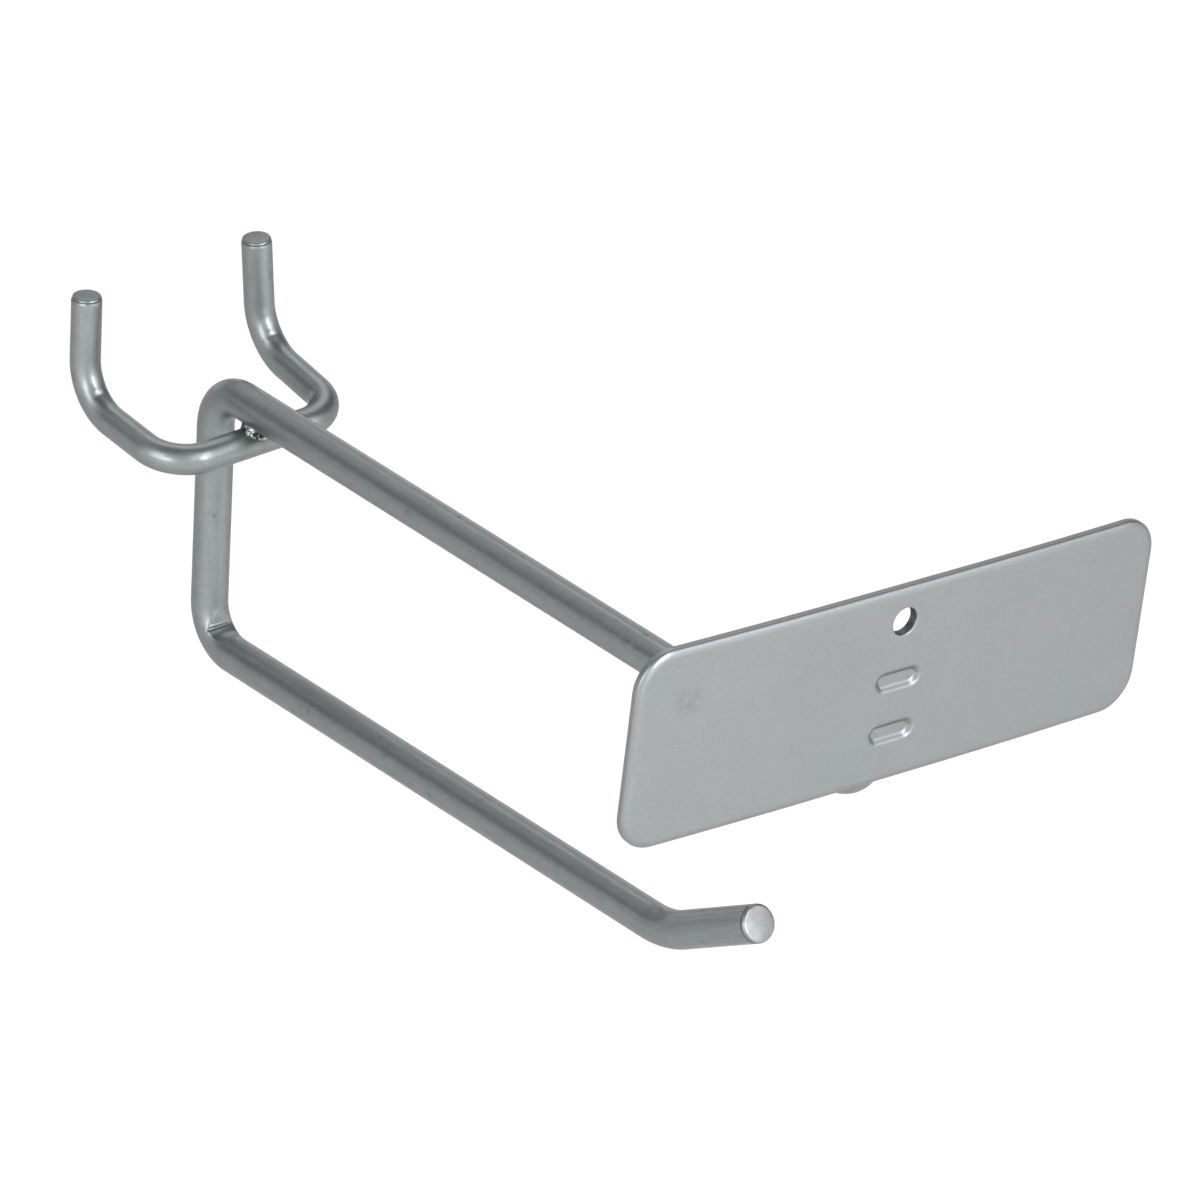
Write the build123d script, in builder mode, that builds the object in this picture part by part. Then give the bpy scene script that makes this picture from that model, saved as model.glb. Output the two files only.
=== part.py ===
from build123d import *
from math import cos, radians, sin, tan
import os

# Pegboard hook with a label plate. Millimetres.
# The origin lies on the board's front face, midway between the two legs, at the height of their centres.
# +X is to the viewer's right, +Y goes into the board, -Y points to the shopper and +Z is up.

# Board that the hook is made for
peg_pitch = 25.4
board_thickness = 4.0
board_clearance = 0.6

# Hook wire
wire_diameter = 4.5
arm_spacing = 33.75
arm_reach = 118.7
back_bend = 5.25
lower_arm_rise = 1.0
lower_arm_reach = 88.3
tip_rise = 27.2
tip_length = 17.5
tip_bend = 13.4
tip_rounding = 0.45

# Upturned end that carries the label plate
end_lean = 2.7
end_length = 17.4
end_bend = 5.05
end_rounding = 0.3

# Peg wire
peg_wire_diameter = 3.7
crossbar_reach = 8.1
crossbar_bend = 5.3
leg_flare = 2.4
leg_rise = 7.5
peg_height = 13.9
peg_height_difference = 0.5
peg_bend = 6.3
peg_toe_in = 2.5
peg_rounding = 0.4
peg_wire_twist = 2.6
weld_sink = 0.15

# Collar of weld metal between the crossbar and the top arm
weld_reach = 2.6
weld_depth = 1.1

# Label plate
plate_width = 72.1
plate_height = 23.7
plate_thickness = 1.15
plate_corner = 4.45
plate_rise = 14.6
plate_flat = 12.0
plate_bow = 0.48
plate_turn = 1.75
front_rounding = 0.5
back_chamfer = 0.15
plate_gap = 0.3

# Hole in the plate
hole_diameter = 3.2
hole_height = 7.7
hole_lip = 0.15

# Dimples that are pressed back and welded to the wire
dimple_length = 6.15
dimple_width = 2.25
dimple_depth = 0.65
dimple_heights = (0.7, -5.7)

wire_radius = wire_diameter / 2
peg_radius = peg_wire_diameter / 2

# Hook wire's corners, all in the middle plane of the hook
upright_y = -wire_radius
crossbar_y = upright_y - crossbar_reach
crossbar_z = crossbar_y * tan(radians(leg_rise))
arm_z = crossbar_z + wire_radius + peg_radius - weld_sink
end_up = Vector(0, -sin(radians(end_lean)), cos(radians(end_lean)))
arm_out = Vector(0, -cos(radians(lower_arm_rise)), sin(radians(lower_arm_rise)))
tip_angle = radians(lower_arm_rise + tip_rise)
tip_out = Vector(0, -cos(tip_angle), sin(tip_angle))

top_back = Vector(0, upright_y, arm_z)
low_back = top_back - Vector(0, 0, arm_spacing)
end_corner = top_back - Vector(0, arm_reach, 0)
end_top = end_corner + end_up * end_length
tip_corner = low_back + arm_out * lower_arm_reach
tip_point = tip_corner + tip_out * tip_length

with BuildPart() as hook_wire:
    with BuildLine() as hook_path:
        FilletPolyline(
            end_top, end_corner, top_back, low_back, tip_corner, tip_point,
            radius=[end_bend, back_bend, back_bend, tip_bend],
        )
    with BuildSketch(Plane(origin=end_top, z_dir=-end_up)):
        Circle(wire_radius)
    sweep(path=hook_path.line)
    hook_rims = hook_wire.edges().filter_by(GeomType.CIRCLE)
    fillet(hook_rims.sort_by_distance(tip_point)[0], tip_rounding)
    hook_rims = hook_wire.edges().filter_by(GeomType.CIRCLE)
    fillet(hook_rims.sort_by_distance(end_top)[0], end_rounding)

# Peg wire's corners, from the middle of its crossbar, before the small twist that the weld left
board_middle = board_thickness / 2
peg_y = board_thickness + board_clearance + peg_radius
leg_run = peg_y - crossbar_y
leg_lift = leg_run * tan(radians(leg_rise))
crossbar_half = peg_pitch / 2 - (board_middle - crossbar_y) * tan(radians(leg_flare))
peg_half = peg_pitch / 2 + (peg_y - board_middle) * tan(radians(leg_flare))
crossbar_middle = Vector(0, crossbar_y, crossbar_z)


def peg_side(side):
    """The crossbar's corner, the peg's corner and the peg's top on one side, -1 left or +1 right."""
    height = peg_height + side * peg_height_difference / 2
    lean = radians(peg_toe_in)
    corner = Vector(side * crossbar_half, 0, 0)
    foot = Vector(side * peg_half, leg_run, leg_lift)
    top = foot + Vector(-side * sin(lean), 0, cos(lean)) * height
    return [crossbar_middle + point.rotate(Axis.Y, -peg_wire_twist) for point in (corner, foot, top)]


left_corner, left_foot, left_top = peg_side(-1)
right_corner, right_foot, right_top = peg_side(1)

with BuildPart() as peg_wire:
    with BuildLine() as peg_path:
        FilletPolyline(
            left_top, left_foot, left_corner, right_corner, right_foot, right_top,
            radius=[peg_bend, crossbar_bend, crossbar_bend, peg_bend],
        )
    with BuildSketch(Plane(origin=left_top, z_dir=left_foot - left_top)):
        Circle(peg_radius)
    sweep(path=peg_path.line)
    for peg_top in (left_top, right_top):
        peg_rims = peg_wire.edges().filter_by(GeomType.CIRCLE)
        fillet(peg_rims.sort_by_distance(peg_top)[0], peg_rounding)
    # The crossbar is sunk a little into the arm by the weld, and seats on it face to face.
    add(hook_wire.part, mode=Mode.SUBTRACT)

# The collar is a lens of metal around the crossing, less the two wires.
weld_middle = Vector(0, crossbar_y, arm_z - wire_radius + weld_sink / 2)
with BuildPart() as crossbar_weld:
    with BuildSketch(Plane.XZ.offset(-crossbar_y)):
        with BuildLine():
            lens_bottom = (0, weld_middle.Z - weld_depth)
            lens_top = (0, weld_middle.Z + weld_depth)
            ThreePointArc(lens_bottom, (weld_reach, weld_middle.Z), lens_top)
            Line(lens_top, lens_bottom)
        make_face()
    revolve(axis=Axis(weld_middle, (0, 0, 1)))
    add(hook_wire.part, mode=Mode.SUBTRACT)
    add(peg_wire.part, mode=Mode.SUBTRACT)

# The plate's own plane has its middle on the upturned end's centre line and faces the shopper.
plate_middle = end_corner + end_up * plate_rise
plate_normal = Vector(0, -cos(radians(end_lean)), -sin(radians(end_lean)))
plate_right = Vector(1, 0, 0) * cos(radians(plate_turn)) - end_up * sin(radians(plate_turn))
plate_plane = Plane(origin=plate_middle, x_dir=plate_right, z_dir=plate_normal)
plate_up = plate_plane.y_dir
plan_plane = Plane(origin=plate_middle, x_dir=plate_right, z_dir=-plate_up)
plate_axis = Axis(plate_middle, plate_normal)

half_width = plate_width / 2
half_flat = plate_flat / 2
mostly = 0.9
back_level = wire_radius + plate_gap
front_level = back_level + plate_thickness

# A dimple is a round-ended groove in the front, with the sheet's own thickness kept behind it.
groove_radius = ((dimple_width / 2) ** 2 + dimple_depth**2) / (2 * dimple_depth)
groove_level = front_level + groove_radius - dimple_depth
groove_run = dimple_length - dimple_width


def round_ended_bar(radius, height):
    """A bar with half-ball ends that lies across the plate at the groove's level."""
    middle = plate_middle + plate_normal * groove_level + plate_up * height
    plane = Plane(origin=middle, x_dir=plate_right, z_dir=plate_normal)
    with BuildPart() as bar:
        with BuildSketch(plane):
            SlotCenterToCenter(groove_run, 2 * radius)
            split(bisect_by=Plane.XZ)
        revolve(axis=Axis(middle, plate_right))
    return bar.part


def dimple_rib(height):
    """The part of the outer bar that stands out behind the sheet."""
    bar = round_ended_bar(groove_radius + plate_thickness, height)
    with BuildPart() as rib:
        add(bar)
        split(bisect_by=plate_plane.offset(front_level - plate_thickness / 2), keep=Keep.BOTTOM)
    return rib.part


def bowed_line(level):
    """A line along the sheet in plan: flat at the dimples, with both ends bent gently back."""
    flat = Line((-half_flat, level), (half_flat, level))
    TangentArc(flat @ 1, (half_width, level - plate_bow), tangent=(1, 0))
    TangentArc(flat @ 0, (-half_width, level - plate_bow), tangent=(-1, 0))


def rim_edges(side):
    """The edges around the sheet's front (+1) or back (-1), without the lines where the bow starts."""
    faces = label_plate.faces().filter_by(lambda face: side * face.normal_at().dot(plate_normal) > mostly)
    edges = faces.edges()
    return [edge for edge in edges if edges.count(edge) == 1]


dimple_ribs = [dimple_rib(height) for height in dimple_heights]
dimple_grooves = [round_ended_bar(groove_radius, height) for height in dimple_heights]

with BuildPart() as label_plate:
    with BuildSketch(plan_plane):
        with BuildLine():
            bowed_line(front_level)
            bowed_line(back_level)
            for end in (-half_width, half_width):
                Line((end, front_level - plate_bow), (end, back_level - plate_bow))
        make_face()
    extrude(amount=plate_height / 2, both=True)
    with BuildSketch(plate_plane):
        RectangleRounded(plate_width, plate_height, plate_corner)
    extrude(amount=front_level + plate_thickness, mode=Mode.INTERSECT)
    fillet(rim_edges(1), front_rounding)
    chamfer(rim_edges(-1), back_chamfer)
    add(dimple_ribs)
    add(dimple_grooves, mode=Mode.SUBTRACT)
    with BuildSketch(plate_plane):
        with Locations((0, hole_height)):
            Circle(hole_diameter / 2)
    extrude(amount=front_level + plate_thickness, mode=Mode.SUBTRACT)
    hole_rims = label_plate.edges().filter_by(GeomType.CIRCLE).filter_by(lambda edge: edge.is_closed)
    fillet(hole_rims.sort_by(plate_axis)[-1], hole_lip)
    # The ribs seat on the wire face to face.
    add(hook_wire.part, mode=Mode.SUBTRACT)

hook_wire.part.label = "hook_wire"
peg_wire.part.label = "peg_wire"
crossbar_weld.part.label = "crossbar_weld"
label_plate.part.label = "label_plate"

os.makedirs("parts", exist_ok=True)
export_step(hook_wire.part, "parts/hook_wire.step")
export_step(peg_wire.part, "parts/peg_wire.step")
export_step(crossbar_weld.part, "parts/crossbar_weld.step")
export_step(label_plate.part, "parts/label_plate.step")
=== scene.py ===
from math import cos, pi, radians, sin, sqrt, tan

import bmesh
import bpy
import numpy as np
from mathutils import Matrix, Vector, noise
from mathutils.geometry import delaunay_2d_cdt


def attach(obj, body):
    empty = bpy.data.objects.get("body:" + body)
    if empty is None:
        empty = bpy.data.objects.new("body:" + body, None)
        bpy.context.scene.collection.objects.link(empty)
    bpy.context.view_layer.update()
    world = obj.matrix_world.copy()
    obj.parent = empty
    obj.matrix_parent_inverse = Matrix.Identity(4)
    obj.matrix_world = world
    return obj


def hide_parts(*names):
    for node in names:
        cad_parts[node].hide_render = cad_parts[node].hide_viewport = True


# Pegboard hook with a label plate, in metres. Sizes are given in millimetres times mm.
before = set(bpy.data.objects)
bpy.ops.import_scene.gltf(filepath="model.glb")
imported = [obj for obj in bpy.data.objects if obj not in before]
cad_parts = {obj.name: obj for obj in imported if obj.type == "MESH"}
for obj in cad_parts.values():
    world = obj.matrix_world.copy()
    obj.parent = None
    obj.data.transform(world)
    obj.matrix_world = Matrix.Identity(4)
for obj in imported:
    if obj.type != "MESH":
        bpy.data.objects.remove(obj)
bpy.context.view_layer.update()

mm = 0.001

# Hook wire
wire_radius = 2.25 * mm
arm_spacing = 33.75 * mm
arm_reach = 118.7 * mm
back_bend = 5.25 * mm
lower_arm_rise = radians(1.0)
lower_arm_reach = 88.3 * mm
tip_rise = radians(27.2)
tip_length = 17.5 * mm
tip_bend = 13.4 * mm
tip_rounding = 0.36 * mm
end_lean = radians(2.7)
end_length = 17.4 * mm
end_bend = 5.05 * mm
end_rounding = 0.3 * mm

# Peg wire
peg_radius = 1.85 * mm
peg_pitch = 25.4 * mm
board_thickness = 4.0 * mm
board_clearance = 0.6 * mm
crossbar_reach = 8.1 * mm
crossbar_bend = 5.3 * mm
leg_flare = radians(2.4)
leg_rise = radians(7.5)
peg_height = 13.9 * mm
peg_height_difference = 0.5 * mm
peg_bend = 6.3 * mm
peg_toe_in = radians(2.5)
peg_rounding = 0.28 * mm
peg_wire_twist = radians(2.6)
weld_sink = 0.15 * mm

# Label plate
plate_width = 72.1 * mm
plate_height = 23.7 * mm
plate_thickness = 1.15 * mm
plate_corner = 4.45 * mm
plate_rise = 14.6 * mm
plate_flat = 12.0 * mm
plate_bow = 0.48 * mm
plate_turn = radians(1.75)
plate_gap = 0.3 * mm
front_rounding = 0.5 * mm
front_run = 0.95 * mm
back_rounding = 0.15 * mm
hole_radius = 1.6 * mm
hole_height = 7.7 * mm
hole_lip = 0.2 * mm
hole_steps = 72
dimple_length = 6.15 * mm
dimple_width = 2.25 * mm
dimple_depth = 0.5 * mm
dimple_wall = 0.8 * mm
dimple_lip = 0.25 * mm
dimple_heights = (0.7 * mm, -5.7 * mm)

# Corners of the hook wire, all in the middle plane
crossbar_y = -wire_radius - crossbar_reach
crossbar_z = crossbar_y * tan(leg_rise)
arm_z = crossbar_z + wire_radius + peg_radius - weld_sink
end_up = Vector((0, -sin(end_lean), cos(end_lean)))
arm_out = Vector((0, -cos(lower_arm_rise), sin(lower_arm_rise)))
tip_out = Vector((0, -cos(lower_arm_rise + tip_rise), sin(lower_arm_rise + tip_rise)))
top_back = Vector((0, -wire_radius, arm_z))
low_back = top_back - Vector((0, 0, arm_spacing))
end_corner = top_back - Vector((0, arm_reach, 0))
end_top = end_corner + end_up * end_length
tip_corner = low_back + arm_out * lower_arm_reach
tip_point = tip_corner + tip_out * tip_length


def peg_side(side):
    """The crossbar's corner, the peg's corner and the peg's top on one side, -1 left or +1 right."""
    board_middle = board_thickness / 2
    peg_y = board_thickness + board_clearance + peg_radius
    corner_half = peg_pitch / 2 - (board_middle - crossbar_y) * tan(leg_flare)
    foot_half = peg_pitch / 2 + (peg_y - board_middle) * tan(leg_flare)
    run = peg_y - crossbar_y
    height = peg_height + side * peg_height_difference / 2
    corner = Vector((side * corner_half, 0, 0))
    foot = Vector((side * foot_half, run, run * tan(leg_rise)))
    top = foot + Vector((-side * sin(peg_toe_in), 0, cos(peg_toe_in))) * height
    twist = Matrix.Rotation(peg_wire_twist, 3, "Y")
    middle = Vector((0, crossbar_y, crossbar_z))
    return [middle + twist.inverted() @ point for point in (corner, foot, top)]


left_corner, left_foot, left_top = peg_side(-1)
right_corner, right_foot, right_top = peg_side(1)

# The plate's own directions
plate_middle = end_corner + end_up * plate_rise
plate_normal = Vector((0, -cos(end_lean), -sin(end_lean)))
plate_right = Vector((1, 0, 0)) * cos(plate_turn) - end_up * sin(plate_turn)
plate_up = plate_normal.cross(plate_right)
back_level = wire_radius + plate_gap
front_level = back_level + plate_thickness


def soft_step(value):
    value = min(max(value, 0), 1)
    return value * value * (3 - 2 * value)


def rounded_slope(value):
    """From 0 to 1 in a straight slope, with both of its ends rounded."""
    soft = 0.2
    steepness = 1 / (1 - soft)
    value = min(max(value, 0), 1)
    if value < soft:
        return steepness * value ** 2 / (2 * soft)
    if value > 1 - soft:
        return 1 - steepness * (1 - value) ** 2 / (2 * soft)
    return steepness * (value - soft / 2)


# Small helpers for node trees and meshes


def add_node(tree, kind, inputs=None, **settings):
    """Adds a node; each input takes a value or another node's output."""
    made = tree.nodes.new(kind)
    for name, value in settings.items():
        setattr(made, name, value)
    for socket, value in (inputs or {}).items():
        if isinstance(value, bpy.types.NodeSocket):
            tree.links.new(value, made.inputs[socket])
        else:
            made.inputs[socket].default_value = value
    return made


def place(tree, kind, inputs=None, output=0, **settings):
    """Adds a node and gives one of its outputs."""
    return add_node(tree, kind, inputs, **settings).outputs[output]


def calculate(tree, operation, *values, clamp=False):
    """What a Math node makes of these values."""
    return place(tree, "ShaderNodeMath", dict(enumerate(values)), operation=operation, use_clamp=clamp)


def minus(tree, one, other):
    return calculate(tree, "SUBTRACT", one, other)


def times(tree, one, other, clamp=False):
    return calculate(tree, "MULTIPLY", one, other, clamp=clamp)


def times_plus(tree, one, other, more, clamp=False):
    return calculate(tree, "MULTIPLY_ADD", one, other, more, clamp=clamp)


def vector_math(tree, operation, inputs, output=0):
    return place(tree, "ShaderNodeVectorMath", inputs, output, operation=operation)


def add_sockets(tree, in_out, sockets):
    for name, kind in sockets.items():
        tree.interface.new_socket(name=name, in_out=in_out, socket_type="NodeSocket" + kind)


def store(tree, geometry, name, value, data_type="FLOAT"):
    """Keeps a value on each point of a geometry, under a name."""
    inputs = {"Geometry": geometry, "Name": name, "Value": value}
    return place(tree, "GeometryNodeStoreNamedAttribute", inputs, data_type=data_type, domain="POINT")


def recall(tree, name):
    """A number that was kept on the points."""
    return place(tree, "GeometryNodeInputNamedAttribute", {"Name": name}, data_type="FLOAT")


def take_result(holder, modifier):
    """The mesh that a modifier makes. Its holder is taken away again."""
    graph = bpy.context.evaluated_depsgraph_get()
    mesh = bpy.data.meshes.new_from_object(holder.evaluated_get(graph), depsgraph=graph)
    holder.modifiers.remove(modifier)
    bpy.data.objects.remove(holder)
    return mesh


def run_tree(tree, name, start, finish, values):
    """Runs a geometry tree on a mesh and returns its result as a plain smooth piece."""
    holder = add_piece(name + ".start", start)
    modifier = holder.modifiers.new("build", "NODES")
    modifier.node_group = tree
    for item in tree.interface.items_tree:
        if item.in_out == "INPUT" and item.name in values:
            modifier[item.identifier] = values[item.name]
    return add_smooth_piece(name, take_result(holder, modifier), finish)


def add_object(name, data):
    made = bpy.data.objects.new(name, data)
    bpy.context.scene.collection.objects.link(made)
    return made


def add_piece(name, mesh):
    mesh.name = name
    return add_object(name, mesh)


def add_smooth_piece(name, mesh, *finishes):
    for face in mesh.polygons:
        face.use_smooth = True
    mesh.materials.clear()
    for finish in finishes:
        mesh.materials.append(finish)
    return add_piece(name, mesh)


def mesh_of(bm):
    """The mesh of a bmesh, which ends with it."""
    mesh = bpy.data.meshes.new("made")
    bm.to_mesh(mesh)
    bm.free()
    return mesh


def join_rings(bm, rings):
    """Faces between rings of corners, which all have the same count."""
    for one, other in zip(rings, rings[1:]):
        for i in range(len(one)):
            j = (i + 1) % len(one)
            bm.faces.new((one[i], one[j], other[j], other[i]))


# The bent wires


def bent_line(tree, corners):
    """The centre line with an arc at each corner, and its length."""
    arc_points = 60
    line = place(tree, "GeometryNodeMeshToCurve", {"Mesh": corners})
    inputs = {"Curve": line, "Count": arc_points, "Radius": recall(tree, "bend_radius")}
    line = place(tree, "GeometryNodeFilletCurve", inputs, mode="POLY")
    return line, place(tree, "GeometryNodeCurveLength", {"Curve": line})


def ring_row(tree, given, length):
    """How many rings make the wire, and each one's way along it, radius, and lift on a domed cut face.

    Rings stand evenly along the body, and close together where an end is rounded.
    On a cut face they stand inside each other.
    """
    first, last = given["First Rounding"], given["Last Rounding"]
    end_rings, cap_rings = given["Rounding Rings"], given["Cap Rings"]
    body = minus(tree, minus(tree, length, first), last)
    body_rings = calculate(tree, "CEIL", calculate(tree, "DIVIDE", body, given["Ring Spacing"]))
    count = times_plus(tree, end_rings, 2, calculate(tree, "ADD", body_rings, 1))
    count = times_plus(tree, cap_rings, 2, count)

    def share(rings_past, rings):
        return calculate(tree, "DIVIDE", rings_past, rings, clamp=True)

    def cosine_loss(angle):
        return minus(tree, 1, calculate(tree, "COSINE", angle))

    in_row = place(tree, "GeometryNodeInputIndex")
    past_cap = minus(tree, in_row, cap_rings)
    past_first = minus(tree, past_cap, end_rings)
    past_body = minus(tree, past_first, body_rings)
    past_last = minus(tree, past_body, end_rings)
    first_cap = minus(tree, 1, share(in_row, cap_rings))
    last_cap = share(past_last, cap_rings)
    quarter = pi / 2
    opening = times(tree, share(past_cap, end_rings), quarter)
    closing = times(tree, share(past_body, end_rings), quarter)

    along = times(tree, first, cosine_loss(opening))
    along = times_plus(tree, share(past_first, body_rings), body, along)
    along = times_plus(tree, last, calculate(tree, "SINE", closing), along)

    loss = times(tree, first, minus(tree, 1, calculate(tree, "SINE", opening)))
    loss = times_plus(tree, last, cosine_loss(closing), loss)
    radius = minus(tree, given["Wire Radius"], loss)
    nearly_all = 0.99
    domes = []
    for cap in (first_cap, last_cap):
        radius = times(tree, radius, minus(tree, 1, times(tree, cap, nearly_all)))
        rest = minus(tree, 1, cap)
        domes.append(minus(tree, 1, times(tree, rest, rest)))
    dome = minus(tree, domes[1], domes[0])
    return count, along, radius, times(tree, dome, given["Cap Crown"])


def bent_wire_tree():
    """A round wire along a line of corners, each with its own bend, and with both cut ends rounded over."""
    tree = bpy.data.node_groups.new("bent_wire", "GeometryNodeTree")
    add_sockets(tree, "INPUT", {
        "Corners": "Geometry", "Wire Radius": "Float", "First Rounding": "Float", "Last Rounding": "Float",
        "Ring Spacing": "Float", "Rounding Rings": "Int", "Cap Rings": "Int", "Cap Crown": "Float",
        "Sides": "Int",
    })
    add_sockets(tree, "OUTPUT", {"Wire": "Geometry"})
    given = tree.nodes.new("NodeGroupInput").outputs
    line, length = bent_line(tree, given["Corners"])
    count, along, radius, lift = ring_row(tree, given, length)

    # The rings' centres are read from the centre line.
    rings = place(tree, "GeometryNodeMeshLine", {"Count": count})
    rings = store(tree, rings, "along", along)
    rings = store(tree, rings, "ring_radius", radius)
    to_last = minus(tree, length, along)
    rings = store(tree, rings, "from_end", calculate(tree, "MINIMUM", along, to_last))
    inputs = {"Curves": line, "Length": along}
    centre = add_node(tree, "GeometryNodeSampleCurve", inputs, mode="LENGTH").outputs
    crown = vector_math(tree, "SCALE", {0: centre["Tangent"], "Scale": lift})
    inputs = {"Geometry": rings, "Position": centre["Position"], "Offset": crown}
    rings = place(tree, "GeometryNodeMeshToCurve", {"Mesh": place(tree, "GeometryNodeSetPosition", inputs)})

    # The section also keeps where each point stands around the wire.
    section = place(tree, "GeometryNodeCurvePrimitiveCircle", {"Resolution": given["Sides"], "Radius": 1.0})
    section = store(tree, section, "around", place(tree, "GeometryNodeInputPosition"), "FLOAT_VECTOR")
    size = recall(tree, "ring_radius")
    inputs = {"Curve": rings, "Profile Curve": section, "Scale": size, "Fill Caps": True}
    add_node(tree, "NodeGroupOutput", {"Wire": place(tree, "GeometryNodeCurveToMesh", inputs)})
    return tree


def corner_line(points, bends):
    """The line of corners that a wire is bent along, with the bend's radius on each."""
    mesh = bpy.data.meshes.new("corners")
    mesh.from_pydata([tuple(point) for point in points], [(i, i + 1) for i in range(len(points) - 1)], [])
    bend = mesh.attributes.new("bend_radius", "FLOAT", "POINT")
    for item, radius in zip(bend.data, [0, *bends, 0]):
        item.value = radius
    return mesh


class Surface:
    """A mesh's points and normals as arrays, so that small marks can be pressed into it."""

    def __init__(self, piece):
        self.mesh = piece.data
        self.points = self.read("co")
        self.normals = self.read("normal")

    def read(self, name):
        values = np.zeros(len(self.mesh.vertices) * 3)
        self.mesh.vertices.foreach_get(name, values)
        return values.reshape(-1, 3)

    def press(self, spot, *sizes):
        """Presses an oval mark in, or raises it where its depth is below zero. Sizes are in mm."""
        depth, half_along, half_across = (size * mm for size in sizes)
        steepness = 2
        away = self.points - np.array(spot.place)
        run = np.array(spot.along)
        out = np.array(spot.out)
        u = away @ run / half_along
        v = away @ np.cross(out, run) / half_across
        faces_out = np.clip(self.normals @ out * steepness, 0, 1)
        self.points -= self.normals * (depth * np.exp(-u * u - v * v) * faces_out)[:, None]

    def flatten_bend(self, centre_y, centre_z, inner, ledge):
        """Presses a bend's inside flat; ledge gives its distance from the bend's centre at each turn."""
        first_turn, tilt, steepest = -10, 4, 60
        ease, ease_end = 0.1 * mm, 12
        hollow, soft = 16 * mm, 0.04 * mm
        back = self.points[:, 1] - centre_y
        down = centre_z - self.points[:, 2]
        away = np.hypot(back, down)
        turn = np.degrees(np.arctan2(down, back))
        turns, distances = np.array(ledge).T
        least = np.interp(turn, turns, distances) * mm
        straight = inner / np.cos(np.radians(np.clip(turn - tilt, 0, steepest)))
        eased = straight - ease * np.clip(1 - turn / ease_end, 0, 1)
        least = np.where(turn < turns[0], eased, least) + self.points[:, 0] ** 2 / hollow
        grown = (away + least + np.hypot(away - least, soft)) / 2
        near = (away < inner + wire_radius) & (turn > first_turn) & (turn < turns[-1])
        scale = np.where(near, grown / away, 1.0)
        self.points[:, 1] = centre_y + back * scale
        self.points[:, 2] = centre_z - down * scale

    def roughen(self, weights, size, height):
        """Moves the points in or out a little where their weight is above zero, as a worn surface is."""
        for i in np.flatnonzero(weights > 0):
            here = Vector(self.points[i]) / size
            self.points[i] += self.normals[i] * (noise.noise(here) * height * weights[i])

    def write(self):
        self.mesh.vertices.foreach_set("co", self.points.ravel())
        self.mesh.update()


class RunSpot:
    """A spot on a straight run: so far from its start, and turned from its top towards the right."""

    def __init__(self, start, end, radius, distance, turn):
        self.along = (end - start).normalized()
        top = Vector((0, 0, 1))
        top = (top - self.along * top.dot(self.along)).normalized()
        side = top.cross(self.along)
        side *= 1 if side.x > 0 else -1
        self.out = top * cos(turn) + side * sin(turn)
        self.place = start + self.along * distance + self.out * radius


class BendSpot:
    """A spot on a bend: at a share of the way round it, and turned sideways from its inside."""

    def __init__(self, before, corner, after, bend, radius, share, sideways):
        back = (before - corner).normalized()
        on = (after - corner).normalized()
        half = back.angle(on) / 2
        inward = (back + on).normalized()
        centre = corner + inward * (bend / sin(half))
        sweep = (pi / 2 - half) * (2 * share - 1)
        plane = back.cross(on).normalized()
        turned = Matrix.Rotation(-sweep, 3, plane) @ -inward
        self.along = plane.cross(turned).normalized()
        self.out = (-turned * cos(sideways) + plane * sin(sideways)).normalized()
        self.place = centre + turned * bend + self.out * radius


# Marks on the bends of the pegs: share of the bend, degrees to one side of its inside,
# depth, half length and half width in mm
left_wrinkles = ((0.60, -12, 0.12, 0.5, 0.75), (0.50, -14, -0.03, 0.16, 0.5), (0.50, -36, 0.02, 0.9, 0.2))
right_wrinkles = ((0.54, -10, 0.06, 0.25, 0.7), (0.46, -16, -0.02, 0.15, 0.5), (0.12, -14, -0.03, 0.3, 0.5))

# Marks on the straight runs: distance in mm, degrees from the top, depth, half length and half width in mm
top_arm_nibs = ((78.7, -57, -0.08, 0.3, 0.25), (80.7, -58, -0.14, 0.4, 0.25), (81.9, -64, -0.08, 0.3, 0.25))
low_arm_nicks = ((87.2, -18, 0.07, 0.35, 0.45), (86.3, -26, -0.04, 0.3, 0.5), (85.9, -50, 0.03, 0.8, 0.35))

# The flattened inside of the lower back bend, below the ledge that the upright's straight inside ends in:
# degrees round the bend, and distance from the bend's centre in mm
ledge_profile = (
    (36.8, 3.56), (40.2, 3.61), (41.6, 3.80), (43.0, 3.92), (44.4, 3.86), (45.8, 3.75), (47.5, 3.70),
    (54.0, 3.70), (60.0, 3.65), (68.0, 3.53), (76.0, 3.40), (86.0, 3.26), (96.0, 3.13), (106.0, 3.03),
    (114.0, 2.93), (125.0, 2.80),
)


def point_values(piece, name):
    values = np.zeros(len(piece.data.vertices))
    piece.data.attributes[name].data.foreach_get("value", values)
    return values


def wear_ends(piece, surface, ends, radius, reach, step):
    """Leaves the wire's cut ends slightly uneven, and a little thinner down to a ragged shoulder."""
    rim_start, rim_width = 0.78, 0.15
    raggedness, waves, shoulder = 0.45, 2.3, 0.16 * mm
    grit_size, grit_height = 0.45 * mm, 0.03 * mm
    from_end = point_values(piece, "from_end")
    at_rim = np.clip((point_values(piece, "ring_radius") / radius - rim_start) / rim_width, 0, 1)
    for i in np.flatnonzero((from_end < reach * 2) & (at_rim > 0)):
        here = Vector(surface.points[i])
        end, before = min(ends, key=lambda pair: (pair[0] - here).length)
        axis = (end - before).normalized()
        away = here - end
        outward = (away - axis * away.dot(axis)).normalized()
        ragged = noise.noise(outward * waves + end / mm)
        share = soft_step((reach * (1 + raggedness * ragged) - from_end[i]) / shoulder)
        surface.points[i] -= np.array(outward) * (step * share * at_rim[i])
    surface.roughen(at_rim * (from_end < reach * 1.5), grit_size, grit_height)


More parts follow.
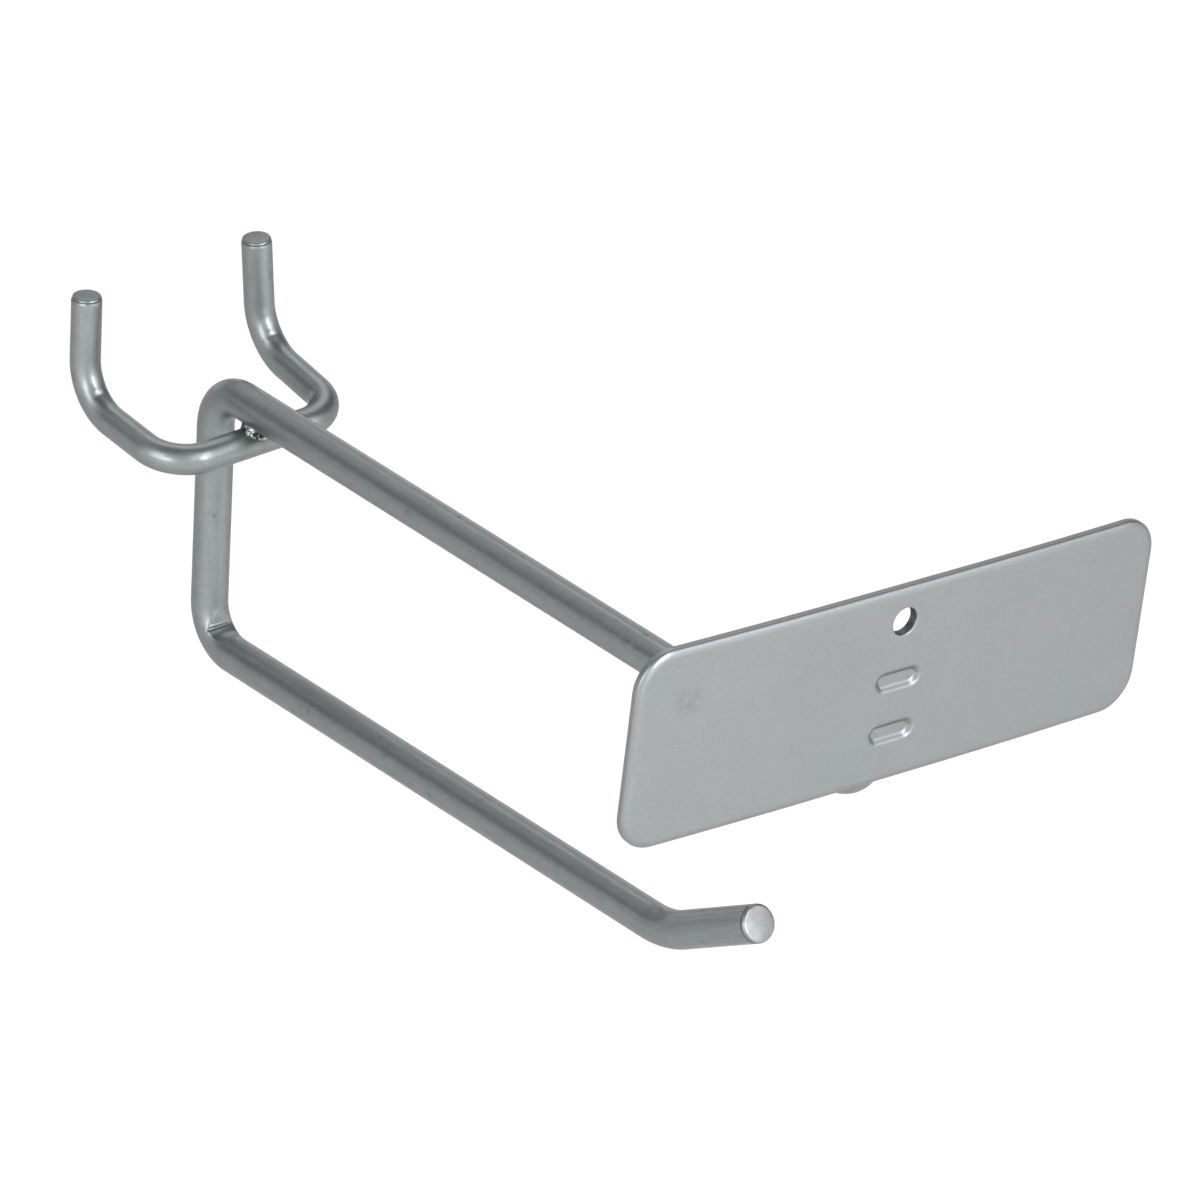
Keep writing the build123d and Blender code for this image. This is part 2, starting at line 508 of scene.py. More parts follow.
def make_hook_wire(tree, finish):
    corners = [end_top, end_corner, top_back, low_back, tip_corner, tip_point]
    start = corner_line(corners, [end_bend, back_bend, back_bend, tip_bend])
    piece = run_tree(tree, "hook_wire_bent", start, finish, {
        "Wire Radius": wire_radius, "First Rounding": end_rounding, "Last Rounding": tip_rounding,
        "Ring Spacing": 0.14 * mm, "Rounding Rings": 8, "Cap Rings": 9, "Cap Crown": 0.1 * mm,
        "Sides": 48,
    })
    surface = Surface(piece)
    centre_z = low_back.z + back_bend * (1 + sin(lower_arm_rise)) / cos(lower_arm_rise)
    surface.flatten_bend(-wire_radius - back_bend, centre_z, back_bend - wire_radius, ledge_profile)
    for start_point, end_point, marks in (
        (top_back, end_corner, top_arm_nibs), (low_back, tip_corner, low_arm_nicks),
    ):
        for distance, turn, *sizes in marks:
            spot = RunSpot(start_point, end_point, wire_radius, distance * mm, radians(turn))
            surface.press(spot, *sizes)
    ends = ((end_top, end_corner), (tip_point, tip_corner))
    wear_ends(piece, surface, ends, wire_radius, reach=0.5 * mm, step=0.02 * mm)
    surface.write()
    return piece


def make_peg_wire(tree, finish):
    corners = [left_top, left_foot, left_corner, right_corner, right_foot, right_top]
    start = corner_line(corners, [peg_bend, crossbar_bend, crossbar_bend, peg_bend])
    piece = run_tree(tree, "peg_wire_bent", start, finish, {
        "Wire Radius": peg_radius, "First Rounding": peg_rounding, "Last Rounding": peg_rounding,
        "Ring Spacing": 0.15 * mm, "Rounding Rings": 8, "Cap Rings": 8, "Cap Crown": 0.05 * mm,
        "Sides": 52,
    })
    surface = Surface(piece)
    # Small wrinkles on the inside of both peg bends
    pegs = (
        (left_top, left_foot, left_corner, left_wrinkles),
        (right_top, right_foot, right_corner, right_wrinkles),
    )
    for top, foot, corner, wrinkles in pegs:
        for share, sideways, *sizes in wrinkles:
            spot = BendSpot(top, foot, corner, peg_bend, peg_radius, share, radians(sideways))
            surface.press(spot, *sizes)
    ends = ((left_top, left_foot), (right_top, right_foot))
    wear_ends(piece, surface, ends, peg_radius, reach=0.6 * mm, step=0.1 * mm)
    surface.write()
    return piece


# The weld between the crossbar and the top arm


def add_ball(bm, subdivisions):
    """The corners of a new ball of radius 1."""
    middle = Matrix.Identity(4)
    return bmesh.ops.create_icosphere(bm, subdivisions=subdivisions, radius=1.0, matrix=middle)["verts"]


def softer_least(a, b):
    """The smaller of two lengths, with the change between them rounded."""
    power = 6
    return (a ** -power + b ** -power) ** (-1 / power)


def weld_collar(bm):
    """Weld metal that fills the corner between the crossbar and the top arm, all around their crossing."""
    turns, rises = 96, 12
    reach, arm_side, bar_side = 2.5 * mm, 1.85 * mm, 1.6 * mm
    unevenness, waves, wave_level = 0.12, 1.7, 4.0
    back_loss, front_gain = 0.2, 0.4
    waist, sunk, smallest = 0.96, 0.3 * mm, 0.01
    middle = Vector((0, crossbar_y, 0))
    rings = [[] for _ in range(rises + 1)]
    for turn in range(turns):
        angle = 2 * pi * turn / turns
        away = Vector((cos(angle), sin(angle), 0))
        uneven = noise.noise(Vector((away.x * waves, away.y * waves, wave_level)))
        wobble = 1 + unevenness * uneven - back_loss * max(away.y, 0)
        front = 1 + front_gain * max(-away.y, 0)
        arm_run = softer_least(reach * front, arm_side / max(abs(away.x), smallest)) * wobble
        bar_run = softer_least(reach, bar_side / max(abs(away.y), smallest)) * wobble
        high = middle + away * arm_run
        high.z = arm_z - sqrt(max(wire_radius ** 2 - high.x ** 2, 0)) + sunk
        low = middle + away * bar_run
        low.z = crossbar_z + sqrt(max(peg_radius ** 2 - (low.y - crossbar_y) ** 2, 0)) - sunk
        inner = middle + away * (min(arm_run, bar_run) * waist)
        inner.z = (high.z + low.z) / 2
        for step in range(rises + 1):
            share = step / rises
            point = low * (1 - share) ** 2 + inner * (2 * share * (1 - share)) + high * share ** 2
            rings[step].append(bm.verts.new(point))
    join_rings(bm, rings)
    bm.faces.new(list(reversed(rings[0])))
    bm.faces.new(rings[-1])


def weld_drop(bm, middle, size, turn):
    """One lump of metal that the weld squeezed out."""
    unevenness, lumps = 0.45, 1.6
    shape = Matrix.Translation(Vector(middle) * mm) @ Matrix.Rotation(radians(turn), 4, "Z")
    for vert in add_ball(bm, 3):
        rough = 1 + unevenness * noise.noise(vert.co * lumps + Vector(middle) * 3)
        vert.co = shape @ (Vector(a * b for a, b in zip(vert.co, size)) * rough * mm)


# Lumps of weld metal: middle and half sizes in mm, and the turn in degrees
weld_drops = (
    ((-1.90, -10.40, 0.92), (0.18, 0.30, 0.16), 5), ((-1.62, -11.55, 0.80), (0.22, 0.50, 0.18), 32),
    ((-1.78, -11.75, 0.25), (0.22, 0.28, 0.24), 0), ((-0.3, -12.4, 0.0), (1.25, 0.7, 0.62), -15),
    ((1.7, -9.6, 0.75), (0.30, 0.5, 0.25), 15), ((1.75, -11.2, 0.7), (0.3, 0.45, 0.3), -10),
    ((0.4, -12.15, -0.35), (1.3, 0.35, 0.55), 0), ((0.3, -8.6, -0.2), (1.1, 0.35, 0.5), 5),
)

# Spots on the weld's left side: middle and reach in mm.
# The flash is bare and brightened with a painted highlight, and the pits beside it are darkened with
# painted shadow from the top arm.
flash_middle = (-1.6, -11.5, 0.5)
bare_and_painted_highlight_spots = (
    ((-1.67, -11.80, 0.80), 0.50), ((-1.73, -11.45, 0.98), 0.45), ((-1.90, -11.90, 0.32), 0.45),
    ((-0.64, -12.90, 0.10), 0.25),
)
pit_and_painted_shadow_spots = (
    ((-1.70, -9.95, 0.92), 0.50), ((-2.10, -10.45, 0.50), 0.45), ((-1.29, -11.95, 0.33), 0.36),
    ((-0.87, -12.45, 0.40), 0.36), ((-1.05, -12.15, -0.15), 0.40), ((-0.75, -12.35, -0.45), 0.36),
)


def one_skin(mesh):
    """One softened skin over closed lumps that run into each other."""
    softenings, softness = 4, 0.5
    holder = add_piece("lumps", mesh)
    skin = holder.modifiers.new("skin", "REMESH")
    skin.mode = "VOXEL"
    skin.voxel_size = 0.06 * mm
    soft = bmesh.new()
    soft.from_mesh(take_result(holder, skin))
    for _ in range(softenings):
        bmesh.ops.smooth_vert(
            soft, verts=soft.verts, factor=softness, use_axis_x=True, use_axis_y=True, use_axis_z=True
        )
    return mesh_of(soft)


def weld_lift(here):
    """How far the weld's skin stands out at a place, in mm: rough at the flash, and sunk in the pits."""
    flash_reach, flash_edge, flash_lift = 1.5, 0.6, 0.04
    coarse_size, coarse_lift = 0.55 * mm, 0.02
    fine_size, fine_lift = 0.2 * mm, 0.03
    pit_depth, pit_reach = 0.16, 1.2
    flash = soft_step((flash_reach - (here / mm - Vector(flash_middle)).length) / flash_edge)
    coarse = noise.noise(here / coarse_size)
    fine = noise.noise(here / fine_size + Vector((7, 0, 0)))
    lift = (coarse_lift + flash_lift * flash) * coarse + fine_lift * flash * fine
    for middle, reach in pit_and_painted_shadow_spots:
        lift -= pit_depth * soft_step(pit_reach - (here / mm - Vector(middle)).length / reach)
    return lift


def make_weld(finish):
    """The collar and its lumps, under one skin, with the pits that the flash left on the left side."""
    bm = bmesh.new()
    weld_collar(bm)
    for middle, size, turn in weld_drops:
        weld_drop(bm, middle, size, turn)
    bmesh.ops.recalc_face_normals(bm, faces=bm.faces)
    piece = add_smooth_piece("crossbar_weld_bead", one_skin(mesh_of(bm)), finish)
    surface = Surface(piece)
    for i, point in enumerate(surface.points):
        surface.points[i] += surface.normals[i] * weld_lift(Vector(point)) * mm
    surface.write()
    return piece


def make_plate_welds(finish):
    """The metal squeezed out where the dimples' backs are welded to the upturned end."""
    half_across, half_upward, half_outward = 1.5, 1.35, 0.42
    sunk, unevenness, lumps = 0.05 * mm, 0.16, 2.1
    bm = bmesh.new()
    for height in dimple_heights:
        middle = plate_middle + plate_up * height + plate_normal * (wire_radius - sunk)
        for vert in add_ball(bm, 4):
            ball = vert.co.copy()
            rough = 1 + unevenness * noise.noise(ball * lumps + Vector((height / mm, 0, 0)))
            across = plate_right * (ball.x * half_across)
            upward = plate_up * (ball.y * half_upward)
            outward = plate_normal * (ball.z * half_outward)
            vert.co = middle + (across + upward + outward) * rough * mm
    bmesh.ops.recalc_face_normals(bm, faces=bm.faces)
    return add_smooth_piece("plate_weld_beads", mesh_of(bm), finish)


# The label plate


def bow_drop(u):
    """How far the sheet has bent back at a distance from its middle."""
    run = plate_width / 2 - plate_flat / 2
    radius = (run ** 2 + plate_bow ** 2) / (2 * plate_bow)
    past = max(abs(u) - plate_flat / 2, 0)
    return radius - sqrt(radius ** 2 - past ** 2)


def slot_distance(u, v, height, grown=0.0):
    """How far inside a dimple's outline a point is, below zero outside."""
    half_run = (dimple_length - dimple_width) / 2
    return (dimple_width + grown) / 2 - Vector((max(abs(u) - half_run, 0), v - height)).length


def front_sink(u, v):
    """The depth of the dimples' grooves, whose walls are gentler above and on the left."""
    steep, upper_ease, left_ease = 0.78, 0.8, 1.6
    sink = 0
    half_run = (dimple_length - dimple_width) / 2
    for height in dimple_heights:
        inside = slot_distance(u, v, height)
        upward = min(max((v - height) / dimple_width * 2, 0), 1)
        leftward = min(max((-u - half_run) / dimple_width * 2, 0), 1)
        wall = dimple_wall * (steep + upper_ease * upward + left_ease * leftward)
        sink += dimple_depth * rounded_slope((inside + dimple_lip) / wall)
    return sink


def back_rise(u, v):
    """How far the dimples' ribs stand out behind the sheet."""
    grown, foot, wall = 1.0 * mm, 0.1 * mm, dimple_wall + 0.35 * mm
    rise = 0
    for height in dimple_heights:
        inside = slot_distance(u, v, height, grown)
        rise += dimple_depth * soft_step((inside + foot) / wall)
    return rise


def plate_point(u, v, level):
    return plate_middle + plate_right * u + plate_up * v + plate_normal * (level - bow_drop(u))


def plate_outline(inset):
    """Points around the plate's rounded outline, moved inwards."""
    half_w, half_h, corner = plate_width / 2, plate_height / 2, plate_corner
    corner_steps, side_steps, top_steps = 26, 26, 110
    points = []
    for turn, side_x, side_y in ((0, 1, 1), (1, -1, 1), (2, -1, -1), (3, 1, -1)):
        start = pi / 2 * turn
        steps = side_steps if turn % 2 else top_steps
        centre = Vector((side_x * (half_w - corner), side_y * (half_h - corner)))
        for i in range(corner_steps + 1):
            angle = start + pi / 2 * i / corner_steps
            points.append(centre + Vector((cos(angle), sin(angle))) * (corner - inset))
        arc_end = points[-1]
        length = 2 * ((half_h if turn % 2 else half_w) - corner)
        ahead = Vector((-cos(start), -sin(start)))
        points += [arc_end + ahead * (length * i / steps) for i in range(1, steps)]
    return points


def circle_points(radius, height, steps):
    return [
        Vector((radius * cos(2 * pi * i / steps), height + radius * sin(2 * pi * i / steps)))
        for i in range(steps)
    ]


def slot_points(height, grow, steps):
    """Points around a dimple's outline, moved outwards by grow."""
    radius = dimple_width / 2 + grow
    half_run = (dimple_length - dimple_width) / 2
    half_around = 2 * half_run + pi * radius
    points = []
    for i in range(steps):
        s = 2 * half_around * i / steps
        side = 1 if s < half_around else -1
        s -= 0 if side == 1 else half_around
        if s < 2 * half_run:
            points.append(Vector((side * (s - half_run), height + side * radius)))
            continue
        angle = side * pi / 2 - (s - 2 * half_run) / radius
        points.append(Vector((side * half_run + radius * cos(angle), height + radius * sin(angle))))
    return points


def plate_fill_rows(inset, hole_edge):
    """Rows of points, each shifted by half a step, over the plain parts of the plate."""
    pitch, row_share = 0.62 * mm, 0.866
    edge_room, hole_room, slot_room = 1.8 * mm, 1.2 * mm, 1.25 * mm
    rows = int(plate_height / pitch / row_share) + 2
    columns = int(plate_width / pitch) + 2
    fill = []
    for row in range(rows):
        for column in range(columns):
            u = (column - columns / 2 + 0.5 * (row % 2)) * pitch
            v = (row - rows / 2) * pitch * row_share
            to_edge = min(plate_width / 2 - abs(u), plate_height / 2 - abs(v))
            corner_u = abs(u) - (plate_width / 2 - plate_corner)
            corner_v = abs(v) - (plate_height / 2 - plate_corner)
            if corner_u > 0 and corner_v > 0:
                to_edge = plate_corner - sqrt(corner_u ** 2 + corner_v ** 2)
            near_hole = Vector((u, v - hole_height)).length < hole_edge + hole_room
            near_slot = any(slot_distance(u, v, height) > -slot_room for height in dimple_heights)
            if to_edge > inset + edge_room and not near_hole and not near_slot:
                fill.append(Vector((u, v)))
    return fill


def plate_face_points(inset, hole_edge):
    """The flat layout of one side's points: both rims first, then what fills the space between them."""
    outline_insets, hole_outsets, near_hole_steps = (0.35, 0.8, 1.4), (0.2, 0.5, 0.9), 60
    slot_steps, slot_pitch, slot_lines, middle_room = 110, 0.125 * mm, range(-8, 10), 0.05 * mm
    rim = plate_outline(inset)
    hole_rim = circle_points(hole_edge, hole_height, hole_steps)
    fill = []
    for more in outline_insets:
        fill += plate_outline(inset + more * mm)
    for more in hole_outsets:
        fill += circle_points(hole_edge + more * mm, hole_height, near_hole_steps)
    for height in dimple_heights:
        for step in slot_lines:
            grow = step * slot_pitch
            if grow > -dimple_width / 2 + middle_room:
                fill += slot_points(height, grow, slot_steps)
    fill += plate_fill_rows(inset, hole_edge)
    return rim, hole_rim, fill


def add_plate_face(bm, inset, hole_edge, level_at):
    rim, hole_rim, fill = plate_face_points(inset, hole_edge)
    flat = [point / mm for point in rim + hole_rim + fill]
    all_faces, same_point = 0, 1e-5
    loops = [(i, (i + 1) % len(rim)) for i in range(len(rim))]
    start = len(rim)
    loops += [(start + i, start + (i + 1) % len(hole_rim)) for i in range(len(hole_rim))]
    points, _, faces, _, _, _ = delaunay_2d_cdt(flat, loops, [], all_faces, same_point)
    verts = [bm.verts.new(plate_point(p.x * mm, p.y * mm, level_at(p.x * mm, p.y * mm))) for p in points]
    for face in faces:
        middle = sum((points[i] for i in face), Vector((0, 0))) / 3
        if (middle - Vector((0, hole_height / mm))).length * mm > hole_edge:
            bm.faces.new([verts[i] for i in face])


def edge_profile(run, rounding, other_rounding, steps):
    """Inset and depth of each line around a sheet's edge, from the front face round to the back."""
    front, back = [], []
    for i in range(steps + 1):
        angle = pi / 2 * i / steps
        front.append((run * (1 - sin(angle)), rounding * (1 - cos(angle))))
        depth = plate_thickness - other_rounding * (1 - sin(angle))
        back.append((other_rounding * (1 - cos(angle)), depth))
    return front + back


def add_edge(bm, profile, outline_at):
    """The band around one of the sheet's edges; outline_at gives the edge's line at an inset."""
    rings = []
    for inset, depth in profile:
        line = outline_at(inset)
        rings.append([bm.verts.new(plate_point(p.x, p.y, front_level - depth)) for p in line])
    join_rings(bm, rings)


def make_label_plate(finish, hole_finish):
    """The sheet with its rims, dimples and hole; the hole's wall has its own finish."""
    back_lip, tolerance, joined = 0.1 * mm, 0.03 * mm, 0.002 * mm
    edge_steps, hole_edge_steps = 12, 5
    bm = bmesh.new()
    add_plate_face(bm, front_run, hole_radius + hole_lip, lambda u, v: front_level - front_sink(u, v))
    add_plate_face(bm, back_rounding, hole_radius + back_lip, lambda u, v: back_level - back_rise(u, v))
    add_edge(bm, edge_profile(front_run, front_rounding, back_rounding, edge_steps), plate_outline)
    add_edge(
        bm, edge_profile(hole_lip, hole_lip, back_lip, hole_edge_steps),
        lambda inset: circle_points(hole_radius + inset, hole_height, hole_steps),
    )
    bmesh.ops.remove_doubles(bm, verts=bm.verts, dist=joined)
    bmesh.ops.recalc_face_normals(bm, faces=bm.faces)
    piece = add_smooth_piece("label_plate_sheet", mesh_of(bm), finish, hole_finish)
    hole_middle = plate_middle + plate_up * hole_height
    for face in piece.data.polygons:
        away = face.center - hole_middle
        in_plane = away - plate_normal * away.dot(plate_normal)
        if in_plane.length < hole_radius + tolerance:
            face.material_index = 1
    return piece


# Finishes

sheet_tint = (0.2095, 0.2235, 0.2260)
warm_tint = (0.2165, 0.2215, 0.2265)
wire_tint = (0.204, 0.22, 0.22)
cut_tint = (0.1950, 0.2005, 0.2040)
weld_tint = (0.200, 0.213, 0.205)
hole_tint = (0.100, 0.110, 0.112)

# How fine the coat's patterns are, how deep its relief is, and how strong its clear skin is
flake_scale = 6500.0
grain_scale = 2600.0
cloud_scale = 130.0
peel_scale = 620.0
coat_relief_depth = 0.008 * mm
weld_relief_depth = 0.012 * mm
torn_relief_depth = 0.03 * mm
coat_weight = 0.4

# The smudge's middle on the plate, and its outer and inner reach
smudge_at = (-29.0 * mm, 5.4 * mm)
smudge_edge = (2.6 * mm, 0.4 * mm)


def start_finish(name):
    """A new finish: itself, its tree, its shader, and the place on the piece that patterns follow."""
    finish = bpy.data.materials.new(name)
    finish.use_nodes = True
    tree = finish.node_tree
    where = place(tree, "ShaderNodeTexCoord", output="Object")
    return finish, tree, tree.nodes["Principled BSDF"], where


def kept_value(tree, name, output="Fac"):
    """What the mesh keeps on its points under a name."""
    return place(tree, "ShaderNodeAttribute", output=output, attribute_name=name)


def spread(tree, value, low, high, start=0.0, end=1.0, **settings):
    """Brings what runs from start to end into the range from low to high."""
    inputs = {"Value": value, "From Min": start, "From Max": end, "To Min": low, "To Max": high}
    return place(tree, "ShaderNodeMapRange", inputs, **settings)


def cloudy(tree, where, scale, detail):
    """A soft pattern around 0.5."""
    inputs = {"Vector": where, "Scale": scale, "Detail": detail}
    return place(tree, "ShaderNodeTexNoise", inputs)


def spatter(tree, where, scale, lowest, highest, seed=0.0):
    """Sparse spots: 0 over most of the surface, and up to 1 where the noise is high."""
    inputs = {"Vector": where, "W": seed, "Scale": scale, "Detail": 2.0}
    pattern = place(tree, "ShaderNodeTexNoise", inputs, noise_dimensions="4D")
    return spread(tree, pattern, 0.0, 1.0, lowest, highest)


def blend(tree, share, first, second):
    """The first colour where share is 0, and the second where it is 1."""
    inputs = {0: share, 6: (*first, 1), 7: (*second, 1)}
    return place(tree, "ShaderNodeMix", inputs, output=2, data_type="RGBA")


def set_metal(tree, shader, roughness):
    """Metal with an edge tint that keeps grazing reflections down, as a powder coat does."""
    shader.inputs["Metallic"].default_value = 1.0
    shader.inputs["Specular Tint"].default_value = (0.4, 0.4, 0.4, 1)
    tree.links.new(roughness, shader.inputs["Roughness"])


def set_coat(tree, shader, roughness):
    """Metal flake in a thin clear skin."""
    set_metal(tree, shader, roughness)
    shader.inputs["Coat Weight"].default_value = coat_weight
    shader.inputs["Coat Roughness"].default_value = 0.15


def paint(tree, shader, tint, gains):
    """The coat's colour, varied by gains that are near 1."""
    gain = gains[0]
    for more in gains[1:]:
        gain = times(tree, gain, more)
    colour = vector_math(tree, "SCALE", {0: tint, "Scale": gain})
    tree.links.new(colour, shader.inputs["Base Color"])


def coat_grain(tree, where):
    """Fine flake, grain and faint clouds: the grain itself, and the gains of all three."""
    flake = place(tree, "ShaderNodeTexVoronoi", {"Vector": where, "Scale": flake_scale}, "Color")
    level = place(tree, "ShaderNodeSeparateColor", {"Color": flake})
    grain = cloudy(tree, where, grain_scale, 3.0)
    cloud = cloudy(tree, where, cloud_scale, 4.0)
    gains = [
        spread(tree, level, 0.96, 1.04), spread(tree, grain, 0.94, 1.06), spread(tree, cloud, 0.96, 1.04),
    ]
    return grain, gains


def add_bump(tree, shader, height, depth):
    bump = place(tree, "ShaderNodeBump", {"Height": height, "Strength": 1.0, "Distance": depth})
    tree.links.new(bump, shader.inputs["Normal"])


def coat_relief(tree, where, grain):
    """The coat's orange peel, with a little of its grain."""
    peel = cloudy(tree, where, peel_scale, 2.0)
    return times_plus(tree, grain, 0.18, peel)


def spot_nearness(tree, where, middle, outer, inner):
    """1 near a spot and 0 far from it, with a soft edge."""
    away = vector_math(tree, "DISTANCE", {0: where, 1: middle}, "Value")
    return spread(tree, away, 0.0, 1.0, outer, inner, interpolation_type="SMOOTHSTEP")


def sheet_coat_finish():
    """Silver powder coat on the plate, with faint warm clouds and a smudge near its top left corner."""
    finish, tree, shader, where = start_finish("silver_powder_coat_sheet")
    grain, gains = coat_grain(tree, where)
    middle = plate_point(*smudge_at, front_level)
    near = spot_nearness(tree, where, middle, *smudge_edge)
    smudge = times(tree, near, spatter(tree, where, 900.0, 0.40, 0.60))
    gains.append(spread(tree, smudge, 1.0, 0.80))
    gains.append(spread(tree, spatter(tree, where, 420.0, 0.66, 0.74, 3.0), 1.0, 0.95))
    warm = times_plus(tree, cloudy(tree, where, 90.0, 3.0), 2.5, -0.75, clamp=True)
    paint(tree, shader, blend(tree, warm, sheet_tint, warm_tint), gains)
    set_coat(tree, shader, spread(tree, grain, 0.45, 0.55))
    add_bump(tree, shader, coat_relief(tree, where, grain), coat_relief_depth)
    return finish


def drawn_lines(tree):
    """Faint lines that run along a drawn wire."""
    fineness, run_scale = 7.0, 200.0
    around = kept_value(tree, "around", "Vector")
    section = vector_math(tree, "SCALE", {0: around, "Scale": fineness})
    along = times(tree, kept_value(tree, "along"), run_scale)
    run = place(tree, "ShaderNodeCombineXYZ", {"Z": along})
    spot = vector_math(tree, "ADD", {0: section, 1: run})
    return cloudy(tree, spot, 1.0, 3.0)


def chipped_and_shaded_rim(tree, where, rounding):
    """1 on a broken line around a cut end, and 0 elsewhere: partly chipped coat, partly painted shade at
    the rim.
    """
    from_line = calculate(tree, "ABSOLUTE", minus(tree, kept_value(tree, "from_end"), rounding * 1.2))
    line = spread(tree, from_line, 1.0, 0.0, 0.04 * mm, 0.13 * mm)
    return times(tree, line, spatter(tree, where, 900.0, 0.28, 0.46, 5.0))


def wire_coat_finish(name, radius, rounding, end_tint):
    """Silver powder coat on a drawn wire, with faint lines, scuffs, and duller cut ends with a dark rim of
    chipped coat and painted shade.
    """
    finish, tree, shader, where = start_finish(name)
    grain, gains = coat_grain(tree, where)
    lines = drawn_lines(tree)
    scuff = spatter(tree, where, 700.0, 0.64, 0.72)
    gains.append(spread(tree, lines, 0.86, 1.14))
    gains.append(spread(tree, cloudy(tree, where, 700.0, 4.0), 0.88, 1.12))
    gains.append(spread(tree, scuff, 1.0, 0.86))
    cut = spread(tree, kept_value(tree, "ring_radius"), 0.0, 1.0, radius * 0.93, radius * 0.85)
    blotch = spread(tree, cloudy(tree, where, 900.0, 3.0), -0.15, 0.28)
    gains.append(minus(tree, 1.0, times(tree, cut, blotch)))
    # The dark rim is partly chipped coat and partly painted shade; the clear skin is taken off there too.
    rim = chipped_and_shaded_rim(tree, where, rounding)
    gains.append(spread(tree, rim, 1.0, 0.3))
    paint(tree, shader, blend(tree, cut, wire_tint, end_tint), gains)
    roughness = spread(tree, grain, 0.44, 0.54)
    set_coat(tree, shader, times_plus(tree, scuff, 0.1, roughness))
    tree.links.new(spread(tree, rim, coat_weight, 0.0), shader.inputs["Coat Weight"])
    height = times_plus(tree, lines, 0.8, coat_relief(tree, where, grain))
    add_bump(tree, shader, height, coat_relief_depth)
    return finish


def spot_mask(tree, where, spots):
    """1 in the middle of each spot and 0 away from all of them."""
    mask = None
    for middle, reach in spots:
        outer = reach * mm
        near = spot_nearness(tree, where, Vector(middle) * mm, outer, outer / 2)
        mask = calculate(tree, "MAXIMUM", mask, near) if mask else near
    return mask


def weld_finish():
    """Powder coat over weld metal; on the left side the bare flash gets a painted highlight, and the pits
    get painted shadow from the top arm.
    """
    finish, tree, shader, where = start_finish("coated_weld_metal")
    grain, gains = coat_grain(tree, where)
    soot = cloudy(tree, where, 1500.0, 4.0)
    gains.append(spread(tree, soot, 0.88, 1.08))
    broken = spread(tree, soot, 0.8, 1.8)
    # Painted shadow darkens the pits under the top arm, and a painted highlight brightens the bare flash.
    painted_pit_shadow = times(tree, spot_mask(tree, where, pit_and_painted_shadow_spots), broken, clamp=True)
    bare_and_painted_highlight = times(tree, spot_mask(tree, where, bare_and_painted_highlight_spots), broken, clamp=True)
    gains.append(spread(tree, bare_and_painted_highlight, 1.0, 2.4))
    gains.append(spread(tree, painted_pit_shadow, 1.0, 0.15))
    paint(tree, shader, weld_tint, gains)
    set_coat(tree, shader, spread(tree, soot, 0.40, 0.52))
    add_bump(tree, shader, calculate(tree, "ADD", grain, soot), weld_relief_depth)
    return finish


def hole_wall_finish():
    """The punched hole's wall, tinted much darker than the plate's face and mottled."""
    finish, tree, shader, where = start_finish("punched_hole_wall")
    torn = cloudy(tree, where, 1600.0, 4.0)
    paint(tree, shader, hole_tint, [spread(tree, torn, 0.2, 1.8)])
    set_metal(tree, shader, spread(tree, torn, 0.4, 0.6))
    add_bump(tree, shader, torn, torn_relief_depth)
    return finish


def floor_finish():
    """Plain pale floor, with the light of a pale room far out."""
    finish, tree, shader, where = start_finish("pale_floor")
    level = spread(tree, cloudy(tree, where, 6.0, 2.0), 0.89, 0.91)
    colour = place(tree, "ShaderNodeCombineColor", {"Red": level, "Green": level, "Blue": level})
    tree.links.new(colour, shader.inputs["Base Color"])
    shader.inputs["Roughness"].default_value = 0.9
    shader.inputs["Emission Color"].default_value = (1, 1, 1, 1)
    out = vector_math(tree, "LENGTH", {0: where}, "Value")
    glow = spread(tree, out, 0.03, 0.6, 0.3, 1.5, interpolation_type="SMOOTHSTEP")
    tree.links.new(glow, shader.inputs["Emission Strength"])
    return finish


# Floor, lights and camera


def make_floor():
    """A round floor far below the hook, which rises into a low wall far out."""
    sides = 96
    # Radius and height, in metres
    profile = [(0.5, -0.22), (4.0, -0.22), (4.6, -0.1), (5.0, 0.3), (5.1, 1.4)]
    turns = [2 * pi * i / sides for i in range(sides)]
    bm = bmesh.new()
    rings = []
    for radius, height in profile:
        rings.append([bm.verts.new((radius * cos(turn), radius * sin(turn), height)) for turn in turns])
    bm.faces.new(rings[0])
    join_rings(bm, rings[::-1])
    mesh = mesh_of(bm)
    mesh.materials.append(floor_finish())
    add_piece("floor", mesh)


def direction(azimuth, elevation):
    """The direction from the object towards a place around it; azimuth 0 is in front, 90 to the right."""
    a, e = radians(azimuth), radians(elevation)
    return Vector((sin(a) * cos(e), -cos(a) * cos(e), sin(e)))


def soft_light(name, azimuth, elevation, distance, size, power):
    """A square soft lamp that shines on the middle of the hook."""
    lamp = bpy.data.lights.new(name, "AREA")
    lamp.shape = "SQUARE"
    lamp.size = size
    lamp.energy = power
    light = add_object(name, lamp)
    towards = direction(azimuth, elevation)
    light.location = Vector((0, -60 * mm, 0)) + towards * distance
    light.rotation_euler = towards.to_track_quat("Z", "Y").to_euler()
    light.visible_camera = False


# Soft lamps: azimuth and elevation in degrees, size in metres, and power in watts
lamps = {
    "front_low": (8, 12, 0.35, 9.1), "front_high": (8, 28, 0.35, 9.6), "front_top": (22, 46, 0.35, 5.1),
    "right": (38, 24, 0.35, 1.4), "left": (-62, 15, 0.4, 6.4), "far_left_low": (-80, 15, 0.4, 3.7),
    "far_left_high": (-80, 35, 0.4, 4.4), "back_right_low": (135, 15, 0.75, 1.3),
    "back_right_high": (135, 50, 0.75, 4.3), "back_low": (180, 15, 0.75, 1.2),
    "back_high": (180, 50, 0.75, 1.9), "back_left": (-135, 50, 0.75, 1.3),
}


